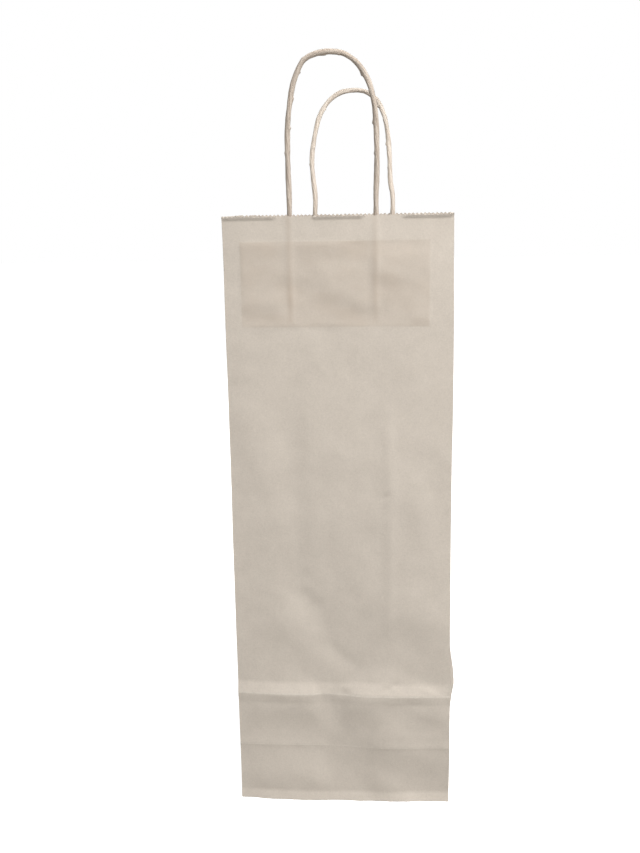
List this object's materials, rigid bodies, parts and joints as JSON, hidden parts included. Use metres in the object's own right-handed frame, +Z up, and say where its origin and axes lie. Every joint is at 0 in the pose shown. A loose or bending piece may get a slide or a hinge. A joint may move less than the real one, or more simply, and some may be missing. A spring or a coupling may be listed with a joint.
{
  "type": "wine gift bag",
  "caption": "Upright kraft paper carrier bag for one bottle, with gusseted sides, a folded block bottom, a pinked rim and twisted paper cord handles.",
  "frame": {"origin": "middle of the base, on the surface that the bag stands on", "axes": "+Z up to the rim, -Y out of the front panel, X across the front"},
  "size_m": [0.1404, 0.1227, 0.4848],
  "materials": {
    "bag_paper": "matt greyish cream kraft, fine fibre grain, faint mottling",
    "gusset_paper": "matt greyish cream kraft, creased down the middle",
    "strip_paper": "matt natural kraft strip, mottled by glue",
    "handle_cord": "matt twisted paper cord with soft fuzzy plies"
  },
  "bodies": {
    "bottom": {"outer_bottom_flap": "bag_paper", "inner_bottom_flap": "bag_paper", "left_bottom_tuck": "bag_paper", "right_bottom_tuck": "bag_paper"},
    "lower_back": {"lower_back_panel": "bag_paper"},
    "upper_back": {"upper_back_panel": "bag_paper", "seam_lap": "bag_paper", "back_base_strip": "strip_paper", "back_cover_strip": "strip_paper", "back_handle_left_leg": "handle_cord", "back_handle_right_leg": "handle_cord"},
    "right_rear_gusset": {"right_rear_gusset": "gusset_paper"},
    "left_rear_gusset": {"left_rear_gusset": "gusset_paper"},
    "right_front_gusset": {"right_front_gusset": "gusset_paper"},
    "left_front_gusset": {"left_front_gusset": "gusset_paper"},
    "front": {"front_panel": "bag_paper", "front_base_strip": "strip_paper", "front_cover_strip": "strip_paper", "front_handle_left_leg": "handle_cord", "front_handle_right_leg": "handle_cord"},
    "right_foot_triangle": {"right_foot_triangle": "gusset_paper"},
    "left_foot_triangle": {"left_foot_triangle": "gusset_paper"},
    "front_handle": {"front_handle_loop": "handle_cord"},
    "back_handle": {"back_handle_loop": "handle_cord"}
  },
  "joints": [
    {"name": "fold_flat", "type": "hinge", "parent": "bottom", "child": "lower_back", "pos_m": [0, 0.04, 0.00095], "axis": [1, 0, 0], "range_deg": [0, 82]},
    {"name": "back_crease", "type": "hinge", "parent": "lower_back", "child": "upper_back", "pos_m": [0, 0.04025, 0.04095], "axis": [1, 0, 0], "range_deg": [-164, 0]},
    {"name": "right_rear_corner", "type": "hinge", "parent": "upper_back", "child": "right_rear_gusset", "pos_m": [0.07, 0.04, 0.195], "axis": [0, 0, -1], "range_deg": [0, 82]},
    {"name": "right_gusset_crease", "type": "hinge", "parent": "right_rear_gusset", "child": "right_front_gusset", "pos_m": [0.07025, 0, 0.195], "axis": [0, 0, 1], "range_deg": [0, 164]},
    {"name": "right_foot_crease", "type": "hinge", "parent": "bottom", "child": "right_foot_triangle", "pos_m": [0.07, 0, 0.00095], "axis": [0, -1, 0], "range_deg": [0, 82]},
    {"name": "left_rear_corner", "type": "hinge", "parent": "upper_back", "child": "left_rear_gusset", "pos_m": [-0.07, 0.04, 0.195], "axis": [0, 0, 1], "range_deg": [0, 82]},
    {"name": "left_gusset_crease", "type": "hinge", "parent": "left_rear_gusset", "child": "left_front_gusset", "pos_m": [-0.07025, 0, 0.195], "axis": [0, 0, -1], "range_deg": [0, 164]},
    {"name": "left_foot_crease", "type": "hinge", "parent": "bottom", "child": "left_foot_triangle", "pos_m": [-0.07, 0, 0.00095], "axis": [0, 1, 0], "range_deg": [0, 82]},
    {"name": "right_front_corner", "type": "hinge", "parent": "right_front_gusset", "child": "front", "pos_m": [0.07, -0.04, 0.195], "axis": [0, 0, -1], "range_deg": [0, 82]},
    {"name": "front_handle_swing", "type": "hinge", "parent": "front", "child": "front_handle", "pos_m": [0, -0.04013, 0.3922], "axis": [1, 0, 0], "range_deg": [-20, 175]},
    {"name": "back_handle_swing", "type": "hinge", "parent": "upper_back", "child": "back_handle", "pos_m": [0, 0.04013, 0.3922], "axis": [-1, 0, 0], "range_deg": [-48, 147]}
  ],
  "couplings": [
    {"joint": "back_crease", "follows": "fold_flat", "ratio": -2},
    {"joint": "right_rear_corner", "follows": "fold_flat", "ratio": 1},
    {"joint": "right_gusset_crease", "follows": "fold_flat", "ratio": 2},
    {"joint": "right_foot_crease", "follows": "fold_flat", "ratio": 1},
    {"joint": "left_rear_corner", "follows": "fold_flat", "ratio": 1},
    {"joint": "left_gusset_crease", "follows": "fold_flat", "ratio": 2},
    {"joint": "left_foot_crease", "follows": "fold_flat", "ratio": 1},
    {"joint": "right_front_corner", "follows": "fold_flat", "ratio": 1}
  ]
}
